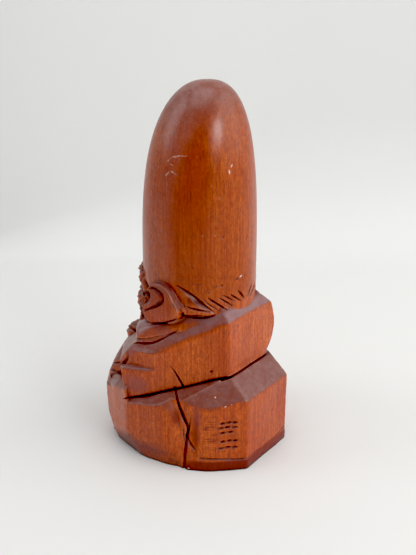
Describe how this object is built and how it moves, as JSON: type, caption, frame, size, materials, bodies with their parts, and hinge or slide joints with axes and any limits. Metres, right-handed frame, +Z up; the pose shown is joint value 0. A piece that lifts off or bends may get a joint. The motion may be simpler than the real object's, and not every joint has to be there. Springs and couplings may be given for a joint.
{
  "type": "carved wooden deity figure",
  "caption": "Seated carved wooden figure of an old deity with a very tall bald head, faceted robe and wide sleeves, standing on its own flat underside.",
  "frame": {"origin": "on the ground, under the middle of the figure's bounding box", "axes": "+Z up along the tall head, -Y the way the figure faces, +X its left side"},
  "size_m": [0.0784, 0.0764, 0.16],
  "materials": {
    "carved_wood": "oiled and waxed red-brown softwood, satin, darker in the cuts and on end grain"
  },
  "bodies": {
    "root": {"deity_figure": "carved_wood"}
  },
  "joints": []
}
